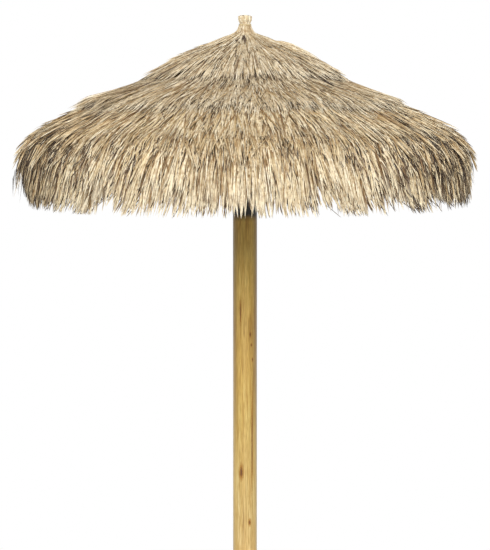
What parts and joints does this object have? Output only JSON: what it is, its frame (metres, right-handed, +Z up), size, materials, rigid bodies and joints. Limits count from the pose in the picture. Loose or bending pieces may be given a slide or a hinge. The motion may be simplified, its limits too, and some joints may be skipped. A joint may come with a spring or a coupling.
{
  "type": "palapa",
  "caption": "Round thatched umbrella: layered reed roof with a hanging fringe, on braced timber rafters and bent hoops, carried by one round pine post.",
  "frame": {"origin": "centre of the post's bottom face", "axes": "+Z up along the post; +X and +Y lie midway between rafters"},
  "size_m": [2.1974, 2.1888, 2.931],
  "materials": {
    "pine_post": "turned pine pole, honey coloured, with knots and long grain, sealed satin",
    "hub_timber": "sawn pine block, satin",
    "peeled_pole": "peeled round poles, dry and slightly rough",
    "bent_cane": "bent cane, smooth skin with nodes",
    "zinc_steel": "zinc-plated steel",
    "reed_thatch": "dry golden reed, matt, in loose strands",
    "weathered_thatch": "dry weathered reed, greyish tan, matt, in loose strands",
    "twine": "natural fibre twine, matt"
  },
  "bodies": {
    "root": {"post": "pine_post", "hub": "hub_timber", "crown_peg": "hub_timber", "rafter_1": "peeled_pole", "rafter_2": "peeled_pole", "rafter_3": "peeled_pole", "rafter_4": "peeled_pole", "rafter_5": "peeled_pole", "rafter_6": "peeled_pole", "rafter_7": "peeled_pole", "rafter_8": "peeled_pole", "brace_1": "peeled_pole", "brace_2": "peeled_pole", "brace_3": "peeled_pole", "brace_4": "peeled_pole", "brace_5": "peeled_pole", "brace_6": "peeled_pole", "brace_7": "peeled_pole", "brace_8": "peeled_pole", "eave_hoop": "bent_cane", "lower_hoop": "bent_cane", "upper_hoop": "bent_cane", "crown_hoop": "bent_cane", "hub_bolt": "zinc_steel", "hub_nut": "zinc_steel", "hub_washers": "zinc_steel", "hub_screws": "zinc_steel", "hoop_screws": "zinc_steel", "brace_foot_screws": "zinc_steel", "brace_head_screws": "zinc_steel", "eave_thatch_1": "reed_thatch", "eave_thatch_2": "reed_thatch", "eave_thatch_3": "reed_thatch", "eave_thatch_4": "reed_thatch", "eave_thatch_5": "reed_thatch", "eave_thatch_6": "reed_thatch", "eave_thatch_7": "reed_thatch", "eave_thatch_8": "reed_thatch", "lower_thatch": "reed_thatch", "upper_thatch": "weathered_thatch", "crown_thatch": "weathered_thatch", "neck_twine": "twine"}
  },
  "joints": []
}
